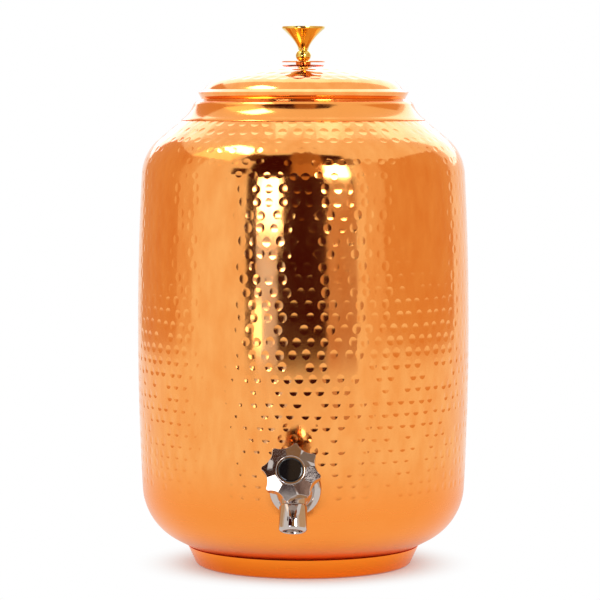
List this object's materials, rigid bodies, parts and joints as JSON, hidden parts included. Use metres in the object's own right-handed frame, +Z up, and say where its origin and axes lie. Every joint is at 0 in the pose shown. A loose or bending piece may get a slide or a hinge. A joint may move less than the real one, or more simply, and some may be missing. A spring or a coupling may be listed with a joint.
{
  "type": "water dispenser",
  "caption": "Round hammered copper water tank on a foot ring, with a lift-off domed lid, a turned brass lid knob, and a chromed screw-down tap with a star knob.",
  "frame": {"origin": "on the table, under the middle of the foot ring", "axes": "+Z up along the axis of the tank, -Y out of the wall along the tail of the tap, +X to the right seen from the tap"},
  "size_m": [0.236, 0.2964, 0.3835],
  "materials": {
    "copper_hammered": "hand-hammered and polished copper sheet",
    "copper_polished": "smooth polished copper sheet",
    "copper_satin": "smooth satin copper sheet",
    "brass_turned": "turned and polished brass",
    "brass_machined": "machined brass",
    "chrome_plate": "polished chrome plate",
    "steel": "plain steel",
    "rubber_black": "moulded rubber",
    "fibre_red": "vulcanised fibre",
    "cap_black": "gloss moulded plastic"
  },
  "bodies": {
    "tank": {"foot_ring": "copper_satin", "base_pan": "copper_satin", "tank_shell": "copper_hammered", "neck_collar": "copper_polished", "tap_body": "chrome_plate", "tap_flange": "chrome_plate", "outer_gasket": "rubber_black", "inner_gasket": "rubber_black", "backing_washer": "steel", "lock_nut": "chrome_plate", "spout_nozzle": "chrome_plate", "bonnet": "chrome_plate", "bonnet_gasket": "fibre_red", "gland_packing": "rubber_black", "gland_nut": "chrome_plate"},
    "lid": {"lid_dome": "copper_hammered", "lid_skirt": "copper_polished", "knob_plate": "copper_polished", "knob_finial": "brass_turned", "knob_washer": "steel", "knob_screw": "steel"},
    "valve": {"valve_jumper": "brass_machined", "valve_washer": "rubber_black", "washer_nut": "brass_machined"},
    "handle": {"spindle": "brass_machined", "star_knob": "chrome_plate", "handle_screw": "steel", "cap_bezel": "chrome_plate", "cap_disc": "cap_black"}
  },
  "joints": [
    {"name": "lid_lift", "type": "slide", "parent": "tank", "child": "lid", "axis": [0, 0, 1], "range_m": [0, 0.12]},
    {"name": "valve_lift", "type": "slide", "parent": "tank", "child": "valve", "axis": [0, -0.9304, 0.3665], "range_m": [0, 0.003]},
    {"name": "handle_turn", "type": "hinge", "parent": "valve", "child": "handle", "pos_m": [0, -0.12131, 0.0675], "axis": [0, -0.9304, 0.3665], "range_deg": [0, 540]}
  ],
  "couplings": [
    {"joint": "handle_turn", "follows": "valve_lift", "rad_per_m": 3141.6}
  ]
}
